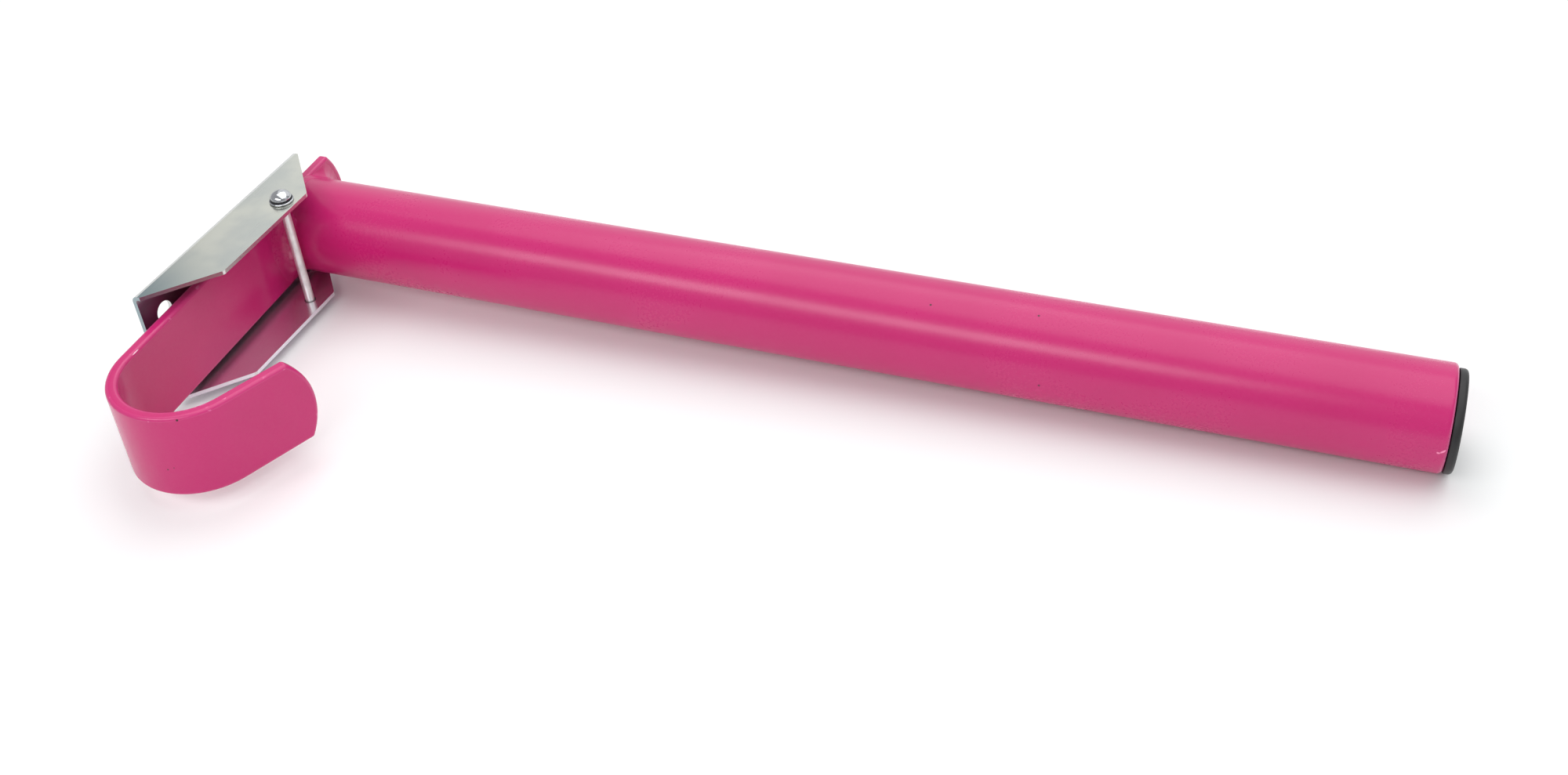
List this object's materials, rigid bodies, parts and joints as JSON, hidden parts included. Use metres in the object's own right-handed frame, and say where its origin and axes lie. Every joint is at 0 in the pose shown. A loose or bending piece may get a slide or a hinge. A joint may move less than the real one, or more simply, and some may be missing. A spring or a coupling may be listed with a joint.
{
  "type": "saddle rack arm",
  "caption": "Wall bracket with a lift-off round arm for a saddle and a J-shaped hook below it for the bridle.",
  "frame": {"origin": "middle of the base of the bounding box, with the object lying on its side", "axes": "+X along the tube, away from the wall; +Y along the bracket from the hook's end to the tube's end, which is up in use; +Z along the cross pin"},
  "size_m": [0.5078, 0.2004, 0.0656],
  "materials": {
    "pink_paint": "satin powder coat",
    "zinc_plate": "bright zinc plating on rolled sheet",
    "bright_steel": "bright plated",
    "spring_steel": "oiled spring steel",
    "black_plastic": "fine matte moulding"
  },
  "bodies": {
    "bracket": {"wall_bracket": "zinc_plate"},
    "pin": {"cross_pin": "bright_steel", "pin_cap_upper": "bright_steel", "pin_cap_lower": "bright_steel", "cap_ring_upper": "spring_steel", "cap_ring_lower": "spring_steel"},
    "arm": {"hook_bar": "pink_paint", "saddle_tube": "pink_paint", "weld_upper": "pink_paint", "weld_lower": "pink_paint", "tube_end_cap": "black_plastic"}
  },
  "joints": [
    {"name": "arm_tilt", "type": "hinge", "parent": "bracket", "child": "pin", "pos_m": [-0.23423, 0.02939, 0.0328], "axis": [0, 0, 1], "range_deg": [-4, 0]},
    {"name": "arm_lift", "type": "slide", "parent": "pin", "child": "arm", "axis": [-0.0488, 0.9988, 0], "range_m": [-0.0025, 0.11]}
  ]
}
